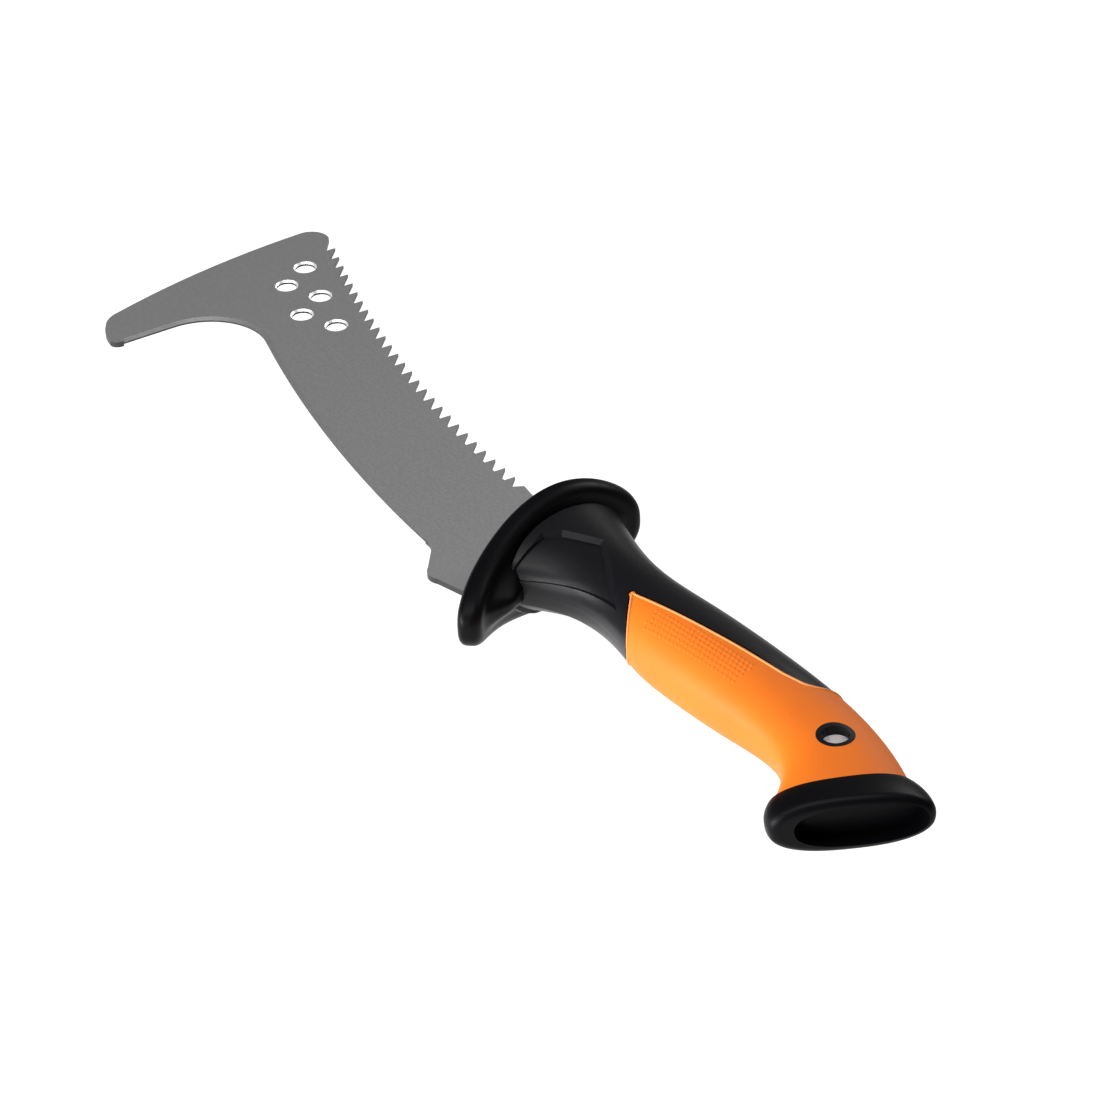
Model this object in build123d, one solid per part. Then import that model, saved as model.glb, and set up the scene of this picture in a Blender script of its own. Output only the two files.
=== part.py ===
from build123d import *
import math
import os

# Brush hook with a saw-toothed back: one steel blade and tang in an overmoulded handle.
# Frame: origin at the centre of the hang hole on the blade's mid-plane, +X towards the
# blade's tip, +Y towards the hook and the cutting edge, +Z square to the blade. Millimetres.

os.makedirs("parts", exist_ok=True)

# ---- blade outline ---------------------------------------------------------------------------
PLATE = 2.0                  # blade and tang thickness
BELLY_FROM = (169.0, 62.0)   # cutting edge: start, highest point and end of its shallow arc
BELLY_TOP = (226.0, 65.7)
THROAT_R = 21.7              # inner curve of the hook
THROAT_CENTRE = (313.0, 82.9)
THROAT_FROM = -96.8          # the inner curve starts and ends tangent to its neighbours
THROAT_TO = 6.8
BEAK_HEEL = (332.2, 104.5)   # beak: inner side, tip and outer shoulder, joined by arcs
BEAK_HEEL_MID = (332.6, 107.5)
BEAK_TIP = (335.5, 108.6)
BEAK_TIP_MID = (340.4, 108.2)
BEAK_NOSE = (344.6, 106.6)
BEAK_NOSE_MID = (348.9, 103.9)
BEAK_SHOULDER = (351.4, 99.8)
BACK_BULGE = (365.1, 62.0)   # middle of the slightly bowed far edge
NOSE_TOP = (373.4, 23.5)     # rounded far corner
NOSE_MID = (371.3, 18.0)
NOSE_SIDE = (365.8, 16.1)
RICASSO_FOOT = (124.0, 58.4)
RICASSO_STEP = ((145.6, 67.7), (149.6, 69.2), (153.0, 67.8))
RICASSO_HEEL = (161.2, 63.3)
RICASSO_BEND = (164.6, 61.9)
SPINE_LAND_Y = 21.4          # plain land between the saw teeth and the guard
ROOT_CORNER = (152.0, 20.8)
EDGE_BEVEL_WIDE = 1.5        # ground bevel of the cutting edge, across the face
EDGE_BEVEL_DEEP = 0.7        # and through the thickness, from each face

# ---- saw edge --------------------------------------------------------------------------------
TEETH = 27
TOOTH_PITCH = 6.46
TOOTH_DEPTH = 3.9
TOOTH_FLANK = 5.0            # length of the sloping flank along the edge
TOOTH_HOOK = 0.3             # backward lean of the tooth face at its root
GULLET_DROP = 0.3            # the gullet floor is this much shallower at the flank's foot
LAND_START = 1.6             # land after the last tooth
FIRST_TIP_X = 357.8
ARC_X = 257.0                # the tooth tips lie on a shallow arc
ARC_Y = -561.4
ARC_R = 587.0
GRIND_WIDE = 1.6             # ground flank of each tooth, across the face
GRIND_DEEP = 0.75            # and through the thickness
CUT_OVER = 0.4               # how far a grinding cut runs past the steel

# ---- holes through the blade -----------------------------------------------------------------
HOLE_R = 3.4
HOLE_CHAMFER = 0.65
HOLE_PITCH = 21.3            # along a row
HOLE_ROW_ANGLE = -7.2
HOLE_ROWS = (((307.8, 36.6), 3), ((320.0, 44.3), 2))

# ---- tang ------------------------------------------------------------------------------------
TANG = (
    (145.0, 47.0), (112.0, 28.5), (46.0, 15.6), (8.0, 9.6), (-11.0, 8.6),
    (-11.0, -8.0), (8.0, -7.6), (46.0, 0.2), (112.0, 11.5), (152.0, 20.8),
)

# ---- handle ----------------------------------------------------------------------------------
# stations: x and y of the section's centre, angle of its normal, half width, half thickness
# and superellipse power
GRIP_STATIONS = (
    (-18.7, 8.6, -14.0, 21.2, 8.1, 2.6),
    (-8.0, 4.0, -9.0, 18.2, 8.3, 2.6),
    (6.0, 1.6, 0.0, 16.3, 9.0, 2.5),
    (26.0, 3.6, 7.0, 16.4, 11.0, 2.3),
    (50.0, 8.9, 10.5, 17.2, 12.6, 2.2),
    (78.0, 14.8, 10.5, 16.8, 12.6, 2.2),
    (97.0, 17.5, 11.0, 14.4, 12.2, 2.2),
    (112.0, 19.8, 14.0, 14.5, 12.6, 2.2),
    (125.0, 22.7, 17.0, 18.2, 13.6, 2.2),
    (135.5, 26.1, 19.5, 23.4, 14.8, 2.2),
    (143.2, 29.0, 20.0, 27.4, 15.6, 2.2),
)
SECTION_POINTS = 24
SKIN = 2.8                   # thickness of the soft grip cover
GROOVE_WIDE = 0.6            # parting groove round the grip cover
GROOVE_DEEP = 1.0

# ---- border of the soft grip cover, seen square to the blade ---------------------------------
COVER_FRONT = ((57.0, 45.9), (94.4, 24.2))
COVER_APEX = (95.7, 23.0)
COVER_SPINE = ((94.2, 22.7), (68.0, 13.1), (38.0, 2.9), (28.6, -0.8), (24.6, -5.5), (23.6, -12.0), (23.4, -30.0))
COVER_FAR = ((-60.0, -30.0), (-60.0, 60.0), (56.0, 60.0))
CUT_HIGH = 40.0              # half height of the cutting prisms

# ---- guard -----------------------------------------------------------------------------------
GUARD_BOW_CENTRE = (70.7, 2.3)   # the flange is bowed round this axis
GUARD_BOW_R = 79.8
GUARD_FACING = (137.3, 35.4, 20.2)   # its outline is projected along this direction
GUARD_REACH = 40.0
GUARD_THICK = 7.8
GUARD_HALF_WIDE = 40.2
GUARD_HALF_HIGH = 20.0
GUARD_POWER = 2.15
GUARD_TAPER = 0.2            # the outline is lower at the hook end than at the spine end
GUARD_ROUND_FRONT = 2.4
GUARD_ROUND_BACK = 3.2       # the rim is rounder towards the hand
NECK_PLANE = (149.0, 32.0, 21.0)   # core neck that carries the guard
NECK_POWER = 2.3
NECK_HALF_WIDE = 19.0
NECK_HALF_HIGH = 10.0
NECK_BACK = 12.0
NECK_FRONT = 1.5

# ---- shallow panel pressed into both faces of the bolster ------------------------------------
PANEL_CORNER = (123.9, 21.1, 11.8)   # corner of its V-shaped border, at the foot of the step
PANEL_RISE = 6.2             # the border rises towards the guard
PANEL_BORDER = (
    (0.0, 0.0), (8.7, 9.2), (10.5, 14.5), (6.1, 26.3), (2.0, 36.0), (-40.0, 36.0), (-40.0, 10.3), (-17.6, 5.2),
)
PANEL_DEEP = 1.6
PANEL_FLARE = 42.0           # slope of the step round the panel
PANEL_CUT = 6.0
LEDGE = (126.3, 0.0, 4.4)    # the panel ends at a low ledge along the bolster's side
LEDGE_FALL = -5.5            # which sinks towards the guard

# ---- pommel ----------------------------------------------------------------------------------
POMMEL_STATIONS = (
    (-18.7, 8.6, -14.0, 22.4, 8.8, 2.6),
    (-24.4, 9.6, -15.0, 24.7, 9.5, 2.5),
    (-31.6, 10.5, -17.0, 24.4, 9.2, 2.4),
)
POMMEL_ROUND = 3.0
RECESS_HALF_WIDE = 20.0      # recess in the end face, nearer the spine side
RECESS_HALF_HIGH = 7.0
RECESS_ASIDE = -2.0
RECESS_DEEP = 7.0
TAIL_HALF_WIDE = 13.0        # core tail that carries the pommel
TAIL_HALF_HIGH = 5.0
TAIL_LONG = 6.0

# ---- hang hole and hidden hardware -----------------------------------------------------------
HANG_HOLE = (1.6, 0.2)       # its place in the outlines above; the finished part is moved to it
BORE_R = 4.3
TUBE_WALL = 0.8
TUBE_HALF = 5.6              # the tube ends below the boss's lips
BOSS_R = 5.95
PIN_R = 2.5
PIN_HALF = 8.0
PINS = {"tang_pin_rear": (46.0, 8.0), "tang_pin_middle": (80.0, 14.4), "tang_pin_front": (112.0, 20.0)}


def station_plane(x, y, angle):
    """Plane across the handle: local x in the blade's plane, local y along +Z."""
    turn = math.radians(angle)
    forward = (math.cos(turn), math.sin(turn), 0)
    across = (-math.sin(turn), math.cos(turn), 0)
    return Plane(origin=(x, y, 0), x_dir=across, z_dir=forward)


def superellipse(half_wide, half_high, power, taper=0.0):
    """Closed rounded section as one periodic spline, lower towards +x by the taper."""
    points = []
    for index in range(SECTION_POINTS):
        turn = 2 * math.pi * index / SECTION_POINTS
        c = math.cos(turn)
        s = math.sin(turn)
        across = math.copysign(abs(c) ** (2 / power), c)
        up = math.copysign(abs(s) ** (2 / power), s) * (1 - taper * across)
        points.append((half_wide * across, half_high * up))
    return make_face(Spline(*points, periodic=True))


def handle_loft(stations, inset):
    """Solid through all stations, shrunk all round by the inset."""
    sections = []
    for x, y, angle, half_wide, half_high, power in stations:
        section = superellipse(half_wide - inset, half_high - inset, power)
        sections.append(station_plane(x, y, angle) * section)
    return loft(sections)


def prism(face):
    return extrude(face, CUT_HIGH, both=True)


def tooth_tips():
    """Tips of the saw teeth, from the nose towards the guard."""
    tips = []
    for index in range(TEETH):
        x = FIRST_TIP_X - TOOTH_PITCH * index
        tips.append((x, ARC_Y + math.sqrt(ARC_R ** 2 - (x - ARC_X) ** 2)))
    return tips


def saw_profile():
    points = []
    for x, y in tooth_tips():
        points.append((x - TOOTH_HOOK, y + TOOTH_DEPTH))
        points.append((x, y))
        points.append((x - TOOTH_FLANK, y + TOOTH_DEPTH - GULLET_DROP))
    return points


def throat_point(turn):
    """Point on the hook's inner circle, at an angle counted from the +X direction."""
    angle = math.radians(turn)
    return (THROAT_CENTRE[0] + THROAT_R * math.cos(angle), THROAT_CENTRE[1] + THROAT_R * math.sin(angle))


def cutting_edge():
    """Belly, throat and inner side of the beak, as three tangent pieces."""
    start = throat_point(THROAT_FROM)
    middle = throat_point((THROAT_FROM + THROAT_TO) / 2)
    end = throat_point(THROAT_TO)
    return [
        ThreePointArc(BELLY_FROM, BELLY_TOP, start),
        ThreePointArc(start, middle, end),
        Line(end, BEAK_HEEL),
    ]


def blade_outline():
    teeth = saw_profile()
    last_x, last_y = teeth[-1]
    land = (last_x - LAND_START, SPINE_LAND_Y)
    return [
        Line(RICASSO_FOOT, RICASSO_STEP[0]),
        ThreePointArc(*RICASSO_STEP),
        Line(RICASSO_STEP[2], RICASSO_HEEL),
        ThreePointArc(RICASSO_HEEL, RICASSO_BEND, BELLY_FROM),
        *cutting_edge(),
        ThreePointArc(BEAK_HEEL, BEAK_HEEL_MID, BEAK_TIP),
        ThreePointArc(BEAK_TIP, BEAK_TIP_MID, BEAK_NOSE),
        ThreePointArc(BEAK_NOSE, BEAK_NOSE_MID, BEAK_SHOULDER),
        ThreePointArc(BEAK_SHOULDER, BACK_BULGE, NOSE_TOP),
        ThreePointArc(NOSE_TOP, NOSE_MID, NOSE_SIDE),
        Line(NOSE_SIDE, teeth[0]),
        *Polyline(*teeth).edges(),
        Line((last_x, last_y), land),
        Line(land, ROOT_CORNER),
        Line(ROOT_CORNER, RICASSO_FOOT),
    ]


def bevel_profile(wide, deep, side):
    """Triangle that takes a bevel off one face: local x points into the plate, local y along Z."""
    face = side * PLATE / 2
    low = side * (PLATE / 2 - deep - deep / wide * CUT_OVER)
    corners = ((wide, face), (wide, face + side), (-CUT_OVER, face + side), (-CUT_OVER, low))
    return Polygon(*corners, align=None)


def edge_bevels():
    path = Wire(cutting_edge())
    tangent = path % 0
    inward = (tangent.Y, -tangent.X, 0)
    start = Plane(origin=path @ 0, x_dir=inward, z_dir=tangent)
    return [sweep(start * bevel_profile(EDGE_BEVEL_WIDE, EDGE_BEVEL_DEEP, side), path) for side in (1, -1)]


def tooth_grinds():
    """Wedges that bevel the sloping flank of every tooth on both faces."""
    rise = TOOTH_DEPTH - GULLET_DROP
    length = math.hypot(TOOTH_FLANK, rise)
    along = (-TOOTH_FLANK / length, rise / length, 0)
    inward = (rise / length, TOOTH_FLANK / length, 0)
    cuts = []
    for x, y in tooth_tips():
        start = (x - along[0] * CUT_OVER, y - along[1] * CUT_OVER, 0)
        across = Plane(origin=start, x_dir=inward, z_dir=along)
        for side in (1, -1):
            cuts.append(extrude(across * bevel_profile(GRIND_WIDE, GRIND_DEEP, side), length + CUT_OVER))
    return cuts


def blade_holes():
    row_x = HOLE_PITCH * math.cos(math.radians(HOLE_ROW_ANGLE))
    row_y = HOLE_PITCH * math.sin(math.radians(HOLE_ROW_ANGLE))
    return [(x + row_x * i, y + row_y * i) for (x, y), count in HOLE_ROWS for i in range(count)]


def make_blade():
    plate = extrude(make_face(blade_outline()), PLATE / 2, both=True)
    for bevel in edge_bevels():
        plate -= bevel
    for x, y in blade_holes():
        plate -= Location((x, y, 0)) * Cylinder(HOLE_R, PLATE * 2)
    rims = [edge for edge in plate.edges().filter_by(GeomType.CIRCLE) if abs(edge.radius - HOLE_R) < 0.01]
    plate = chamfer(rims, HOLE_CHAMFER)
    return plate - tooth_grinds()


def beside(points, distance):
    """The points moved sideways, to the right of the way they run."""
    moved = []
    for i, (x, y) in enumerate(points):
        x0, y0 = points[max(i - 1, 0)]
        x1, y1 = points[min(i + 1, len(points) - 1)]
        length = math.dist((x0, y0), (x1, y1))
        moved.append((x + (y1 - y0) / length * distance, y - (x1 - x0) / length * distance))
    return moved


def panel_cutters(handle):
    """Cuts that press a panel into both faces of the bolster, as deep as the handle is moved."""
    rise = math.tan(math.radians(PANEL_RISE))
    fall = math.tan(math.radians(LEDGE_FALL))
    foot = Plane(origin=PANEL_CORNER, x_dir=(1, 0, rise), z_dir=(-rise, 0, 1)) * Polygon(*PANEL_BORDER, align=None)
    ledge = Plane(origin=LEDGE, x_dir=(1, 0, fall), z_dir=(-fall, 0, 1)) * Rectangle(CUT_HIGH * 6, CUT_HIGH * 6)
    cutter = extrude(foot, PANEL_CUT, taper=-PANEL_FLARE) + extrude(foot, -PANEL_CUT * 2)
    cutter = cutter & extrude(ledge, CUT_HIGH)
    cutter -= Location((0, 0, -PANEL_DEEP)) * handle
    return [cutter, mirror(cutter, Plane.XY)]


def cover_zone(grow):
    """Area of the soft grip cover, seen square to the blade and grown all round."""
    front = beside(COVER_FRONT, -grow)
    spine = beside(COVER_SPINE, -grow)
    apex = beside((COVER_FRONT[1], COVER_APEX, COVER_SPINE[0]), -grow)[1]
    return make_face([
        Line(*front),
        ThreePointArc(front[1], apex, spine[0]),
        Spline(*spine),
        Line(spine[-1], COVER_FAR[0]),
        Line(COVER_FAR[0], COVER_FAR[1]),
        Line(COVER_FAR[1], COVER_FAR[2]),
        Line(COVER_FAR[2], front[0]),
    ])


def make_guard_block():
    """Flange bowed back at both ends, with a rounded rim."""
    place = Location((*GUARD_BOW_CENTRE, 0), (0, 0, 180))
    front = place * Cylinder(GUARD_BOW_R + GUARD_THICK / 2, CUT_HIGH * 2)
    back = place * Cylinder(GUARD_BOW_R - GUARD_THICK / 2, CUT_HIGH * 2)
    section = superellipse(GUARD_HALF_WIDE, GUARD_HALF_HIGH, GUARD_POWER, GUARD_TAPER)
    outline = station_plane(*GUARD_FACING) * section
    block = (front - back) & extrude(outline, GUARD_REACH, both=True)
    for back_first, radius in ((0, GUARD_ROUND_BACK), (-1, GUARD_ROUND_FRONT)):
        rims = block.edges().filter_by(lambda edge: edge.length > GUARD_HALF_WIDE)
        rims = rims.sort_by(lambda edge: math.dist(tuple(edge.center())[:2], GUARD_BOW_CENTRE))
        block = fillet(rims[back_first], radius)
    return block


def build_parts():
    handle = handle_loft(GRIP_STATIONS, 0)
    under_skin = handle_loft(GRIP_STATIONS, SKIN)
    under_groove = handle_loft(GRIP_STATIONS, GROOVE_DEEP)
    guard_block = make_guard_block()
    blade = make_blade()
    tang = extrude(Polygon(*TANG, align=None), PLATE / 2, both=True) - blade
    hang = Location((*HANG_HOLE, 0))
    tube = hang * Cylinder(BORE_R + TUBE_WALL, TUBE_HALF * 2)
    bore = hang * Cylinder(BORE_R, CUT_HIGH * 2)
    pins = {name: Location((x, y, 0)) * Cylinder(PIN_R, PIN_HALF * 2) for name, (x, y) in PINS.items()}
    boss = (hang * Cylinder(BOSS_R, CUT_HIGH * 2)) & handle

    zone = prism(cover_zone(0))
    cover = (handle & zone) - under_skin - boss

    neck_plane = station_plane(*NECK_PLANE)
    neck_face = neck_plane * superellipse(NECK_HALF_WIDE, NECK_HALF_HIGH, NECK_POWER)
    neck = extrude(neck_face, NECK_FRONT) + extrude(neck_face, -NECK_BACK)
    tail_plane = station_plane(*POMMEL_STATIONS[0][:3])
    tail = extrude(tail_plane * superellipse(TAIL_HALF_WIDE, TAIL_HALF_HIGH, NECK_POWER), -TAIL_LONG)

    core = handle - prism(cover_zone(GROOVE_WIDE)) + under_groove
    core = core - (zone - under_skin) + boss - panel_cutters(handle)
    core = core - guard_block + neck + tail
    core -= [blade, tang, tube, bore, *pins.values()]

    guard = guard_block - neck - blade - tang

    pommel = handle_loft(POMMEL_STATIONS, 0)
    end_x, end_y, end_angle, _, _, end_power = POMMEL_STATIONS[-1]
    end_plane = station_plane(end_x, end_y, end_angle)
    end_rim = pommel.edges().sort_by(Axis.X)[0]
    pommel = fillet(end_rim, POMMEL_ROUND)
    recess_outline = Location((RECESS_ASIDE, 0)) * superellipse(RECESS_HALF_WIDE, RECESS_HALF_HIGH, end_power)
    recess_face = end_plane * recess_outline
    pommel = pommel - extrude(recess_face, RECESS_DEEP) - tail

    tang -= [tube, *pins.values()]
    nodes = {
        "blade": blade,
        "tang": tang,
        "handle_core": core,
        "guard_flange": guard,
        "grip_cover": cover,
        "pommel_cap": pommel,
        "hang_hole_tube": tube - bore,
    }
    nodes.update(pins)
    return nodes


for name, drawn in build_parts().items():
    part = Location((-HANG_HOLE[0], -HANG_HOLE[1], 0)) * drawn
    print(name, round(part.volume, 1), len(part.solids()), part.is_valid)
    export_step(part, f"parts/{name}.step")
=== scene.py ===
import math

import bpy
from mathutils import Matrix, Vector
from mathutils.bvhtree import BVHTree


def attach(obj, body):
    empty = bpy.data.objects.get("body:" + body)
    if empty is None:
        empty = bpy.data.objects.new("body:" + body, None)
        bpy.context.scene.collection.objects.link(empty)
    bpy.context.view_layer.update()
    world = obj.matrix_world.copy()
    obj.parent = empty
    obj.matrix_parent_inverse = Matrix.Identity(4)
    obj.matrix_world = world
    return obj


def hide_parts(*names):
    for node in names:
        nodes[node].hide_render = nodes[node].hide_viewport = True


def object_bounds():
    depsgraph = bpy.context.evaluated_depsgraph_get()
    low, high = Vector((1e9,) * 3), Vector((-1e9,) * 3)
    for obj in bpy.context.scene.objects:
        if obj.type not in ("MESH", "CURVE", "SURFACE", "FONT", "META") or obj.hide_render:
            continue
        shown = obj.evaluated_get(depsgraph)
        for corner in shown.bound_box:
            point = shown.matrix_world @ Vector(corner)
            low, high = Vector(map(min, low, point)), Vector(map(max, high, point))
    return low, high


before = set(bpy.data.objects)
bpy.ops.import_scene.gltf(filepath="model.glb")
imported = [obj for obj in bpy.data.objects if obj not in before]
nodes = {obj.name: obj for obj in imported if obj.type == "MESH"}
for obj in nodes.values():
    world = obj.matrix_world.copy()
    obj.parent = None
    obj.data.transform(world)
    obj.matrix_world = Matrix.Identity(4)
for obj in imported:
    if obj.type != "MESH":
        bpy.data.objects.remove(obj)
cad_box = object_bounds()
scene = bpy.context.scene

MM = 0.001
BLACK = (0.0, 0.0, 0.0)


# ---- node helpers ----------------------------------------------------------------------------
class Graph:
    """A material's node tree with short ways to add and join nodes."""

    def __init__(self, name):
        self.material = bpy.data.materials.new(name)
        self.material.use_nodes = True
        self.tree = self.material.node_tree
        self.tree.nodes.clear()
        self.out = self.node("OutputMaterial")
        self.shader = self.node("BsdfPrincipled")
        self.link(self.shader.outputs["BSDF"], self.out.inputs["Surface"])
        self.place = self.node("TexCoord").outputs["Object"]

    def node(self, kind):
        return self.tree.nodes.new("ShaderNode" + kind)

    def link(self, source, target):
        self.tree.links.new(source, target)

    def put(self, socket, value):
        """Joins another node's output to the socket, or sets a plain value."""
        if isinstance(value, bpy.types.NodeSocket):
            self.link(value, socket)
        else:
            socket.default_value = value

    def math(self, operation, a, b=0.0):
        node = self.node("Math")
        node.operation = operation
        self.put(node.inputs[0], a)
        self.put(node.inputs[1], b)
        return node.outputs[0]

    def scaled(self, scale):
        node = self.node("Mapping")
        node.inputs["Scale"].default_value = scale
        self.link(self.place, node.inputs["Vector"])
        return node.outputs[0]

    def noise(self, scale, detail, rough, stretch=(1, 1, 1)):
        node = self.node("TexNoise")
        node.inputs["Scale"].default_value = scale
        node.inputs["Detail"].default_value = detail
        node.inputs["Roughness"].default_value = rough
        self.link(self.scaled(stretch), node.inputs["Vector"])
        return node.outputs["Fac"]

    def span(self, value, low, high, to_low, to_high):
        """Carries the range low..high over to to_low..to_high, held at both ends."""
        node = self.node("MapRange")
        node.inputs["From Min"].default_value = low
        node.inputs["From Max"].default_value = high
        node.inputs["To Min"].default_value = to_low
        node.inputs["To Max"].default_value = to_high
        self.put(node.inputs["Value"], value)
        return node.outputs[0]

    def mix(self, fac, a, b):
        """Colour a where fac is 0, colour b where it is 1."""
        node = self.node("Mix")
        node.data_type = "RGBA"
        self.put(node.inputs[0], fac)
        for socket, value in ((node.inputs[6], a), (node.inputs[7], b)):
            self.put(socket, value if isinstance(value, bpy.types.NodeSocket) else (*value, 1.0))
        return node.outputs[2]

    def add(self, first, second):
        node = self.node("AddShader")
        self.link(first, node.inputs[0])
        self.link(second, node.inputs[1])
        return node.outputs[0]

    def bump(self, height, strength, distance):
        node = self.node("Bump")
        node.inputs["Strength"].default_value = strength
        node.inputs["Distance"].default_value = distance
        self.put(node.inputs["Height"], height)
        self.link(node.outputs[0], self.shader.inputs["Normal"])

    def facing_up(self):
        """How far a face looks along the blade's normal."""
        split = self.node("SeparateXYZ")
        self.link(self.node("NewGeometry").outputs["True Normal"], split.inputs[0])
        return split.outputs[2]

    def along(self, axis):
        """Position along X (0) or Y (1), in metres."""
        split = self.node("SeparateXYZ")
        self.link(self.place, split.inputs[0])
        return split.outputs[axis]


# ---- steel -----------------------------------------------------------------------------------
STAIN_SCALE = 14.0
SPECK_SCALE = 900.0
TONE = 0.05                     # grain streaks are this much darker or lighter than the base
GROUND_FACES = (0.93, 0.985)    # a face that looks up less than this is a ground bevel, given painted shade
CUT_FACES = (0.35, 0.60)        # and less than this, a cut side wall, given deeper painted shade
CHAMFER_FROM = (0.55, 0.65)     # the rims of the holes lie between these two and get a painted highlight
CHAMFER_TO = (0.76, 0.84)
CHAMFER_HIGHLIGHT = (0.97, 0.97, 0.97)
GRAIN_DEPTH = 0.00004


def steel(name, base, rough, grain, direction, cut_shade=1.0, ground_shade=1.0, metal=1.0):
    """Satin steel: grinding grain, faint stains, specks, painted shade on cut and ground edges,
    painted highlight on hole rims.
    """
    g = Graph(name)
    streaks = g.noise(grain, 4.0, 0.6, direction)
    stains = g.noise(STAIN_SCALE, 3.0, 0.6)
    specks = g.noise(SPECK_SCALE, 2.0, 0.5)
    dark = tuple(c * (1 - TONE) for c in base)
    light = tuple(min(1.0, c * (1 + TONE)) for c in base)
    body = g.mix(g.span(streaks, 0.3, 0.7, 0.0, 1.0), dark, light)
    body = g.mix(g.span(stains, 0.35, 0.7, 0.0, 0.25), body, light)
    lift = g.math("ABSOLUTE", g.facing_up())
    # painted shade: ground bevels and cut side walls are darkened by how far they turn from the
    # blade's normal
    ground = g.span(lift, *GROUND_FACES, ground_shade, 1.0)
    cut = g.span(lift, *CUT_FACES, cut_shade, 1.0)
    body = g.mix(g.math("MULTIPLY", ground, cut), BLACK, body)
    # painted highlight: faces between the chamfer limits, the hole rims, are turned near white
    above = g.span(lift, *CHAMFER_FROM, 0.0, 1.0)
    below = g.span(lift, *CHAMFER_TO, 1.0, 0.0)
    body = g.mix(g.math("MULTIPLY", above, below), body, CHAMFER_HIGHLIGHT)
    g.link(body, g.shader.inputs["Base Color"])
    g.shader.inputs["Metallic"].default_value = metal
    g.link(g.span(specks, 0.3, 0.7, rough - 0.02, rough + 0.03), g.shader.inputs["Roughness"])
    g.bump(streaks, 0.03, GRAIN_DEPTH)
    return g.material


# ---- mouldings -------------------------------------------------------------------------------
CLOUD_SCALE = 22.0
RECESS_TAIL = -0.0200       # behind this X the core is seen only in the pommel's recess, m
RECESS_BLEND = 0.0015
RECESS_SHADE = 0.375        # painted shade: there colour and gloss fall to this share, as dark as the rubber round it


def moulded(name, base, light, rough, grain_scale, grain_depth, spec, shade_behind=None):
    """Moulded plastic or soft rubber: fine spark-eroded grain, slight clouding, and painted shade
    behind a given X.
    """
    g = Graph(name)
    cloud = g.noise(CLOUD_SCALE, 3.0, 0.55)
    grain = g.noise(grain_scale, 2.0, 0.5)
    body = g.mix(g.span(cloud, 0.3, 0.7, 0.0, 1.0), base, light)
    gloss = spec
    if shade_behind is not None:
        # painted shade: behind the recess line the colour and gloss are darkened
        lit = g.span(g.along(0), shade_behind - RECESS_BLEND, shade_behind, RECESS_SHADE, 1.0)
        body = g.mix(lit, BLACK, body)
        gloss = g.span(lit, 0.0, 1.0, 0.0, spec)
    g.link(body, g.shader.inputs["Base Color"])
    g.put(g.shader.inputs["Specular IOR Level"], gloss)
    g.link(g.span(grain, 0.3, 0.7, rough - 0.05, rough + 0.07), g.shader.inputs["Roughness"])
    g.bump(grain, 0.25, grain_depth)
    return g.material


mat_blade = steel(
    "blade_satin", base=(0.55, 0.55, 0.552), rough=0.44, grain=260.0,
    direction=(1.0, 9.0, 1.0), cut_shade=0.12, ground_shade=0.72, metal=0.85,
)
mat_pin = steel(
    "pin_bright", base=(0.98, 0.98, 0.98), rough=0.33, grain=300.0, direction=(1.0, 1.0, 6.0),
)
mat_core = moulded(
    "nylon_black", base=(0.004, 0.004, 0.0055), light=(0.006, 0.006, 0.0075), rough=0.36,
    grain_scale=2600.0, grain_depth=0.00003, spec=0.24, shade_behind=RECESS_TAIL,
)
mat_rubber = moulded(
    "rubber_black", base=(0.0015, 0.0015, 0.0022), light=(0.0024, 0.0024, 0.0032), rough=0.40,
    grain_scale=2200.0, grain_depth=0.00004, spec=0.09,
)
mat_orange = moulded(
    "rubber_orange", base=(0.72, 0.150, 0.008), light=(0.78, 0.175, 0.011), rough=0.52,
    grain_scale=1800.0, grain_depth=0.00004, spec=0.26,
)
# painted highlight: the lip is a lighter orange than the cover, standing in for light caught on the
# rolled edge
mat_lip_highlight = moulded(
    "rubber_orange_lip_highlight", base=(0.74, 0.24, 0.055), light=(0.80, 0.29, 0.08), rough=0.42,
    grain_scale=1800.0, grain_depth=0.00002, spec=0.40,
)

LOOKS = {
    "blade": mat_blade,
    "tang": mat_blade,
    "handle_core": mat_core,
    "guard_flange": mat_rubber,
    "grip_cover": mat_orange,
    "pommel_cap": mat_rubber,
    "hang_hole_tube": mat_pin,
    "tang_pin_rear": mat_pin,
    "tang_pin_middle": mat_pin,
    "tang_pin_front": mat_pin,
}
for node, look in LOOKS.items():
    piece = nodes[node]
    piece.data.materials.clear()
    piece.data.materials.append(look)

# ---- mesh helpers ----------------------------------------------------------------------------
PROBE_HEIGHT = 0.08       # probing rays start this far above or below the blade's plane, m
LEAST_FACING = 0.12       # steeper places than this carry no detail


def skin_of(node):
    """Search tree of a CAD node's surface."""
    mesh = nodes[node].data
    faces = [tuple(p.vertices) for p in mesh.polygons]
    return BVHTree.FromPolygons([v.co for v in mesh.vertices], faces)


def add_piece(name, verts, faces, look):
    mesh = bpy.data.meshes.new(name)
    mesh.from_pydata(verts, [], faces)
    mesh.polygons.foreach_set("use_smooth", [True] * len(mesh.polygons))
    mesh.materials.append(look)
    piece = bpy.data.objects.new(name, mesh)
    scene.collection.objects.link(piece)
    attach(piece, "root")
    return piece


def spread(points, step):
    """Evenly spaced points along a polyline, in mm."""
    out = []
    for (x0, y0), (x1, y1) in zip(points, points[1:]):
        count = max(1, round(math.dist((x0, y0), (x1, y1)) / step))
        for i in range(count):
            out.append((x0 + (x1 - x0) * i / count, y0 + (y1 - y0) * i / count))
    return out + [points[-1]]


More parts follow.
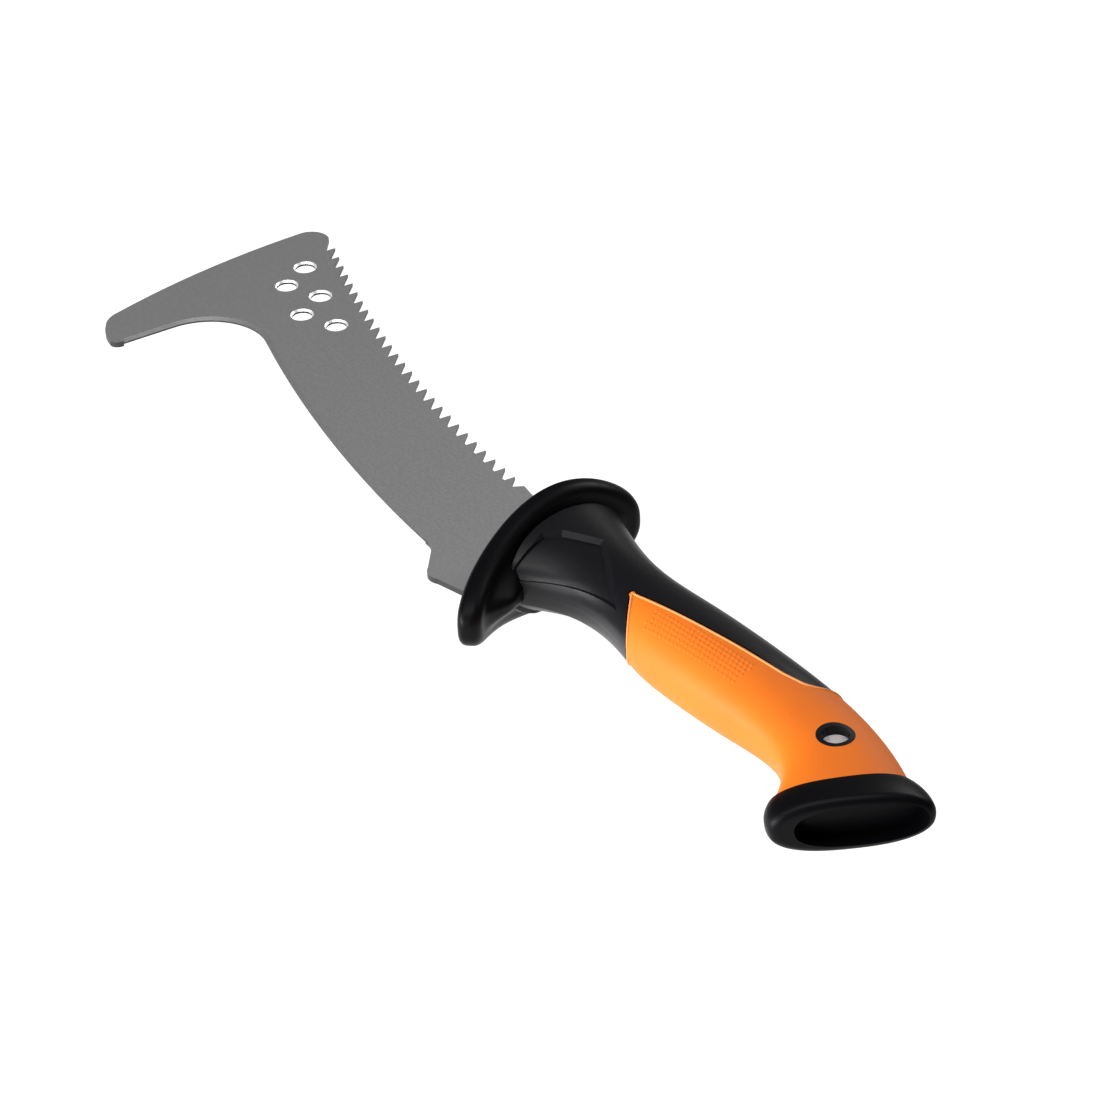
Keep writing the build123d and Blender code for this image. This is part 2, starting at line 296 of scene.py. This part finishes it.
def rounded(points, times):
    """Corner cutting, which turns a polyline into a smooth curve."""
    for _ in range(times):
        cut = [points[0]]
        for (x0, y0), (x1, y1) in zip(points, points[1:]):
            cut.append((x0 * 0.75 + x1 * 0.25, y0 * 0.75 + y1 * 0.25))
            cut.append((x0 * 0.25 + x1 * 0.75, y0 * 0.25 + y1 * 0.75))
        points = cut + [points[-1]]
    return points


def touch(skin, x, y, side):
    """Surface point and normal straight above or below a point of the blade's plane."""
    start = Vector((x * MM, y * MM, side * PROBE_HEIGHT))
    place, normal, _, _ = skin.ray_cast(start, Vector((0, 0, -side)))
    if place is None or normal.z * side < LEAST_FACING:
        return None
    return place, normal


def bead(name, path, radius, look, sides=10):
    """Closed round bead through surface points, half sunk in the surface."""
    verts = []
    faces = []
    count = len(path)
    for i, (place, normal) in enumerate(path):
        along = (path[(i + 1) % count][0] - path[i - 1][0]).normalized()
        across = along.cross(normal).normalized()
        for k in range(sides):
            turn = 2 * math.pi * k / sides
            verts.append(place + (normal * math.cos(turn) + across * math.sin(turn)) * radius)
    for i in range(count):
        for k in range(sides):
            a = i * sides + k
            b = i * sides + (k + 1) % sides
            c = (i + 1) % count * sides
            faces.append((a, b, c + (k + 1) % sides, c + k))
    return add_piece(name, verts, faces, look)


# ---- grip cover: rolled lip ------------------------------------------------------------------
COVER_EDGE = (
    (50.0, 49.3), (92.0, 24.75), (94.1, 22.8), (92.6, 22.5), (66.4, 12.9),
    (36.4, 2.7), (27.0, -1.0), (23.0, -5.7), (22.0, -12.2), (21.8, -30.2),
)
EDGE_ROUNDING = 3      # rounds of corner cutting
EDGE_STEP = 0.25
LIP_INSIDE = 0.42      # the bead's line lies this far inside the cover's edge
LIP_R = 0.42

cover_skin = skin_of("grip_cover")


def shifted(points, distance):
    """The line moved sideways, to its left where distance is positive."""
    moved = []
    for i, (x, y) in enumerate(points):
        x0, y0 = points[max(i - 1, 0)]
        x1, y1 = points[min(i + 1, len(points) - 1)]
        length = math.dist((x0, y0), (x1, y1))
        aside = distance / length
        moved.append((x - (y1 - y0) * aside, y + (x1 - x0) * aside))
    return moved


def make_lip():
    """One bead that follows the cover's edge on the upper face and back on the lower one."""
    line = shifted(spread(rounded(COVER_EDGE, EDGE_ROUNDING), EDGE_STEP), -LIP_INSIDE)
    upper, lower = (
        [hit for hit in (touch(cover_skin, x, y, side) for x, y in line) if hit]
        for side in (1, -1)
    )
    bead("grip_lip", upper + lower[::-1], LIP_R * MM, mat_lip_highlight)


make_lip()

# ---- grip cover: pimpled patch ---------------------------------------------------------------
PATCH = ((81.0, 20.0), (77.5, 27.0), (55.0, 22.5), (36.0, 16.5), (38.0, 6.2), (60.0, 13.4))
DOT_ORIGIN = (40.0, 10.0)
DOT_LEAN = math.radians(15.0)
DOT_PITCH = 1.9
ROW_RISE = 0.866       # rows of a staggered pattern, as a share of the pitch
DOT_ROWS = range(-20, 40)
DOT_COLUMNS = range(-20, 60)
DOT_R = 0.62
DOT_HIGH = 0.15
DOT_SIDES = 10
DOT_PROFILE = ((1.0, -0.25), (0.95, 0.25), (0.7, 0.7), (0.35, 0.93))
DOT_SUNK = 0.1


def inside(x, y, corners):
    crossed = False
    for (x0, y0), (x1, y1) in zip(corners, corners[1:] + corners[:1]):
        if (y0 > y) != (y1 > y) and x < x0 + (x1 - x0) * (y - y0) / (y1 - y0):
            crossed = not crossed
    return crossed


def dot_places():
    """Surface points and normals of the dots, in staggered rows on both faces."""
    for row in DOT_ROWS:
        for column in DOT_COLUMNS:
            u = (column + 0.5 * (row % 2)) * DOT_PITCH
            v = row * DOT_PITCH * ROW_RISE
            x = DOT_ORIGIN[0] + u * math.cos(DOT_LEAN) - v * math.sin(DOT_LEAN)
            y = DOT_ORIGIN[1] + u * math.sin(DOT_LEAN) + v * math.cos(DOT_LEAN)
            if not inside(x, y, PATCH):
                continue
            for side in (1, -1):
                hit = touch(cover_skin, x, y, side)
                if hit is not None:
                    yield hit


def add_dot(verts, faces, place, normal):
    """One closed low dome."""
    along = normal.orthogonal().normalized()
    across = normal.cross(along)
    first = len(verts)
    for wide, up in DOT_PROFILE:
        for k in range(DOT_SIDES):
            turn = 2 * math.pi * k / DOT_SIDES
            ring = (along * math.cos(turn) + across * math.sin(turn)) * wide * DOT_R
            verts.append(place + (ring + normal * up * DOT_HIGH) * MM)
    top = len(verts)
    verts.append(place + normal * DOT_HIGH * MM)
    verts.append(place - normal * DOT_SUNK * MM)
    for level in range(len(DOT_PROFILE) - 1):
        a = first + level * DOT_SIDES
        b = a + DOT_SIDES
        for k in range(DOT_SIDES):
            after = (k + 1) % DOT_SIDES
            faces.append((a + k, a + after, b + after, b + k))
    last = first + (len(DOT_PROFILE) - 1) * DOT_SIDES
    for k in range(DOT_SIDES):
        after = (k + 1) % DOT_SIDES
        faces.append((last + k, last + after, top))
        faces.append((first + after, first + k, top + 1))


def make_pimples():
    verts = []
    faces = []
    for place, normal in dot_places():
        add_dot(verts, faces, place, normal)
    add_piece("grip_pimples", verts, faces, mat_orange)


make_pimples()

# ---- guard: one soft moulding with a fat rounded rim -----------------------------------------
BOW_CENTRE = Vector((70.4, 2.5))     # the flange is bowed round this axis
BOW_R = 79.8
GUARD_CENTRE = Vector((135.9, 34.7))
GUARD_TURN = math.radians(20.2)
GUARD_THICK = 7.8
GUARD_WIDE = 42.0
GUARD_HIGH = 18.95
GUARD_OUTLINE = (1.0, -0.471, -0.078, 0.384)   # height along the outline, as a cubic of -1..1
GUARD_BLUNT = 0.22                   # fullness of both ends
RIM_FRONT = 2.6
RIM_BACK = 3.5
RIM_STEPS = 8
AROUND = 192
BLEND_HIGH = 6.0                     # the back face rises this far to meet the bolster
BLEND_STEPS = 12
BLEND_END = 0.8                      # share of the way to the middle where the rise ends
FRONT_STEPS = 6
FACE_END = 0.9                       # both faces close with a small cap this near the middle
MIDDLE_SHARE = 0.6                   # the rings close in on a line that runs ...
MIDDLE_FROM = -22.0                  # ... from here
MIDDLE_TO = 20.0                     # ... to here


def guard_outline():
    """Egg outline, low towards the hook end, as (across, up) points with inward normals."""
    points = []
    for i in range(AROUND):
        turn = 2 * math.pi * i / AROUND
        c = math.cos(turn)
        blunt = 1 - GUARD_BLUNT * abs(c)
        rise = math.copysign(abs(math.sin(turn)) ** blunt, math.sin(turn))
        up = GUARD_HIGH * rise * sum(k * c ** n for n, k in enumerate(GUARD_OUTLINE))
        points.append(Vector((GUARD_WIDE * c, up)))
    inward = []
    for i in range(AROUND):
        step = (points[(i + 1) % AROUND] - points[i - 1]).normalized()
        inward.append(Vector((-step.y, step.x)))
    return points, inward


def on_bow(across, up, offset):
    """Point of the bowed flange, moved along the bow's radius."""
    forward = Vector((math.cos(GUARD_TURN), math.sin(GUARD_TURN)))
    aside = Vector((-math.sin(GUARD_TURN), math.cos(GUARD_TURN)))
    away = GUARD_CENTRE + aside * across - BOW_CENTRE
    ahead = away.dot(forward)
    reach = -ahead + math.sqrt(BOW_R ** 2 - away.length_squared + ahead ** 2)
    place = (away + forward * reach) * ((BOW_R + offset) / BOW_R) + BOW_CENTRE
    return Vector((place.x, place.y, up)) * MM


def guard_profile():
    """Rings from the back face over the rim to the front: inset, share to the middle, offset."""
    rings = []
    half = GUARD_THICK / 2
    for i in range(BLEND_STEPS, 0, -1):
        share = i / BLEND_STEPS * FACE_END
        eased = min(1.0, share / BLEND_END)
        rise = eased * eased * (3 - 2 * eased)
        rings.append((RIM_BACK, share, -half - BLEND_HIGH * rise))
    for i in range(RIM_STEPS + 1):
        turn = math.pi / 2 * (1 - i / RIM_STEPS)
        offset = RIM_BACK - half - RIM_BACK * math.sin(turn)
        rings.append((RIM_BACK * (1 - math.cos(turn)), 0.0, offset))
    for i in range(RIM_STEPS + 1):
        turn = math.pi / 2 * i / RIM_STEPS
        offset = half - RIM_FRONT + RIM_FRONT * math.sin(turn)
        rings.append((RIM_FRONT * (1 - math.cos(turn)), 0.0, offset))
    for i in range(1, FRONT_STEPS + 1):
        rings.append((RIM_FRONT, i / FRONT_STEPS * FACE_END, half))
    return rings


def make_guard():
    points, inward = guard_outline()
    verts = []
    faces = []
    rings = guard_profile()
    for inset, share, offset in rings:
        for point, normal in zip(points, inward):
            place = point + normal * inset
            middle = max(MIDDLE_FROM, min(MIDDLE_TO, place.x * MIDDLE_SHARE))
            place = place.lerp(Vector((middle, 0.0)), share)
            verts.append(on_bow(place.x, place.y, offset))
    for level in range(len(rings) - 1):
        for k in range(AROUND):
            a = level * AROUND + k
            b = level * AROUND + (k + 1) % AROUND
            faces.append((a, b, b + AROUND, a + AROUND))
    last = (len(rings) - 1) * AROUND
    faces.append(tuple(range(AROUND - 1, -1, -1)))
    faces.append(tuple(range(last, last + AROUND)))
    guard = add_piece("guard_moulding", verts, faces, mat_rubber)
    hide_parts("guard_flange")


make_guard()

# ---- floor and light -------------------------------------------------------------------------
FLOOR_HALF = 6.0
FLOOR_GAP = 0.0005
FLOOR_DARK = (0.20, 0.20, 0.20)
FLOOR_LIGHT = (0.22, 0.22, 0.22)
FLOOR_GLOW = 0.95
FLOOR_BOUNCE = (0.08, 1.25)      # what the tool sees of the floor: dim behind it, bright before it
FLOOR_BOUNCE_Y = (-0.14, 0.04)   # the bounce grows between these, m
WORLD_GLOW = 0.08
AIM = Vector((0.12, 0.03, 0.0))
LIGHTS = (   # name, place, size, watts
    ("key", (0.05, 1.30, 0.30), (1.3, 0.5), 34.0),
    ("top", (-0.15, 0.15, 1.40), (0.9, 0.7), 8.5),
    ("back", (0.60, -1.10, 0.75), (0.9, 0.3), 7.5),
    ("accent", (-0.05, 0.80, 1.15), (0.25, 0.25), 2.5),
)


def floor_look():
    """Pale floor: white to look at, and a soft gradient in what it throws back on the tool."""
    g = Graph("floor_white")
    g.link(g.mix(g.noise(1.5, 2.0, 0.5), FLOOR_DARK, FLOOR_LIGHT), g.shader.inputs["Base Color"])
    g.shader.inputs["Roughness"].default_value = 0.9
    glow = g.node("Emission")
    glow.inputs["Strength"].default_value = FLOOR_GLOW
    bounce = g.node("Emission")
    g.link(g.span(g.along(1), *FLOOR_BOUNCE_Y, *FLOOR_BOUNCE), bounce.inputs["Strength"])
    pick = g.node("MixShader")
    g.link(g.node("LightPath").outputs["Is Camera Ray"], pick.inputs[0])
    g.link(g.add(g.shader.outputs["BSDF"], bounce.outputs[0]), pick.inputs[1])
    g.link(g.add(g.shader.outputs["BSDF"], glow.outputs[0]), pick.inputs[2])
    g.link(pick.outputs[0], g.out.inputs["Surface"])
    return g.material


def make_floor():
    z = cad_box[0][2] - FLOOR_GAP
    corners = [(x * FLOOR_HALF, y * FLOOR_HALF, z) for x, y in ((-1, -1), (1, -1), (1, 1), (-1, 1))]
    mesh = bpy.data.meshes.new("floor")
    mesh.from_pydata(corners, [], [(0, 1, 2, 3)])
    mesh.materials.append(floor_look())
    floor = bpy.data.objects.new("floor", mesh)
    scene.collection.objects.link(floor)


def soft_light(name, place, size, power):
    lamp_data = bpy.data.lights.new(name, "AREA")
    lamp_data.shape = "RECTANGLE"
    lamp_data.size, lamp_data.size_y = size
    lamp_data.energy = power
    lamp = bpy.data.objects.new(name, lamp_data)
    scene.collection.objects.link(lamp)
    lamp.location = place
    lamp.rotation_euler = (AIM - Vector(place)).to_track_quat("-Z", "Y").to_euler()


make_floor()
for light in LIGHTS:
    soft_light(*light)
world = bpy.data.worlds.new("studio")
world.use_nodes = True
background = world.node_tree.nodes["Background"]
background.inputs["Color"].default_value = (1, 1, 1, 1)
background.inputs["Strength"].default_value = WORLD_GLOW
scene.world = world

# ---- camera ----------------------------------------------------------------------------------
CAMERA_PLACE = (-1.13616, 0.55441, 0.88400)
CAMERA_RIGHT = (-0.4051, -0.9133, -0.0426)
CAMERA_UP = (0.4784, -0.2515, 0.8414)
SENSOR = 36.0
LENS = 169.26
CLIP = (0.05, 20.0)


def make_camera():
    right = Vector(CAMERA_RIGHT).normalized()
    up = Vector(CAMERA_UP)
    up = (up - right * up.dot(right)).normalized()
    camera_data = bpy.data.cameras.new("camera")
    camera_data.sensor_width = SENSOR
    camera_data.lens = LENS
    camera_data.clip_start, camera_data.clip_end = CLIP
    camera = bpy.data.objects.new("camera", camera_data)
    scene.collection.objects.link(camera)
    turn = Matrix((right, up, right.cross(up))).transposed().to_4x4()
    camera.matrix_world = Matrix.Translation(CAMERA_PLACE) @ turn
    scene.camera = camera


make_camera()
scene.view_settings.view_transform = "Standard"
